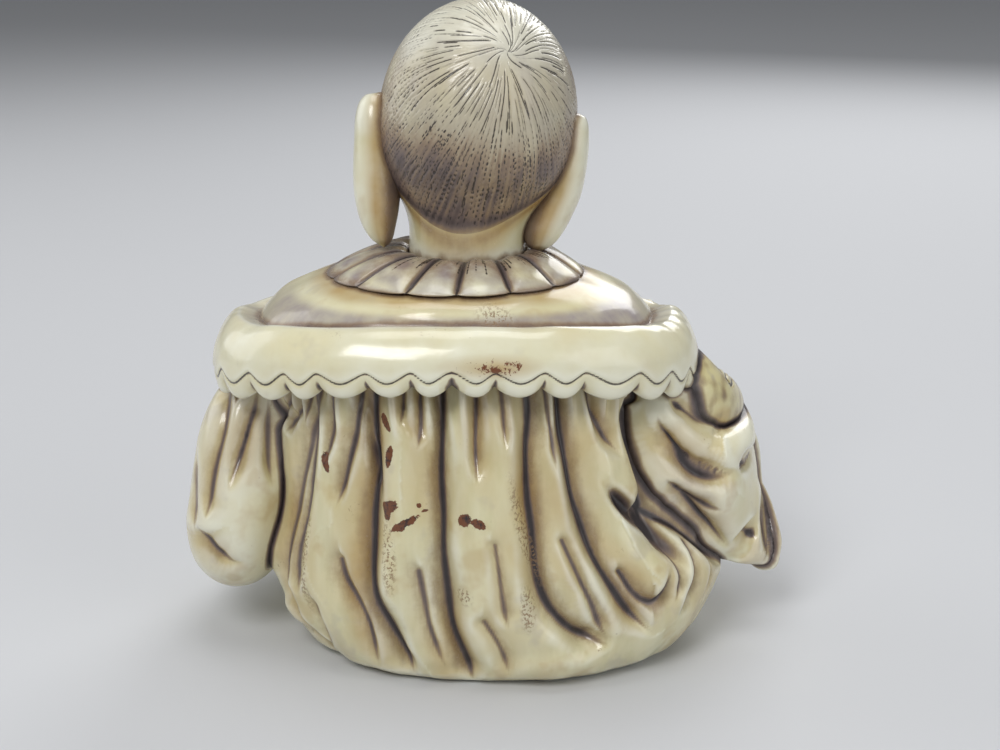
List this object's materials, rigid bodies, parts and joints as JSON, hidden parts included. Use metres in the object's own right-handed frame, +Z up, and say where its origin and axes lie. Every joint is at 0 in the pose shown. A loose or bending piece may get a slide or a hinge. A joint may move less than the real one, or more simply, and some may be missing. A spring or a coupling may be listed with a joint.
{
  "type": "porcelain figurine",
  "caption": "Seated robed monk-like figure in glazed porcelain with cropped hair, long ears, pleated ruff and scalloped cape; hollow, with a vent hole under a flat foot.",
  "frame": {"origin": "on the ground under the middle of the figure's box", "axes": "+Z up, the figure looks along -Y, +X is the figure's left"},
  "size_m": [0.1388, 0.09, 0.1444],
  "materials": {
    "robe_glaze": "glossy ivory to amber glaze, dark brown stain in the folds",
    "cuff_glaze": "glossy ivory glaze, brown stain along the roll",
    "under_sleeve_glaze": "glossy grey-brown glaze with a raised pattern of rounded ovals",
    "skin_glaze": "glossy ivory glaze, amber towards the hollows",
    "cape_glaze": "glossy cream glaze, amber towards the ruff",
    "band_glaze": "glossy near-white glaze, thin dark line over the scallops",
    "ruff_glaze": "glossy ivory glaze, grey-brown stain in the pleats",
    "head_glaze": "glossy ivory glaze, incised hair strokes filled with dark brown stain",
    "bare_foot": "unglazed biscuit, slightly rough"
  },
  "bodies": {
    "root": {"base_plate": "bare_foot", "robe_back": "robe_glaze", "robe_front": "robe_glaze", "lap": "robe_glaze", "sleeve_left": "robe_glaze", "sleeve_right": "robe_glaze", "cuff_left": "cuff_glaze", "cuff_right": "cuff_glaze", "under_sleeve_right": "under_sleeve_glaze", "hand_left": "skin_glaze", "hand_right": "skin_glaze", "cape_yoke": "cape_glaze", "cape_band": "band_glaze", "ruff_collar": "ruff_glaze", "head": "head_glaze", "ear_left": "skin_glaze", "ear_right": "skin_glaze"}
  },
  "joints": []
}
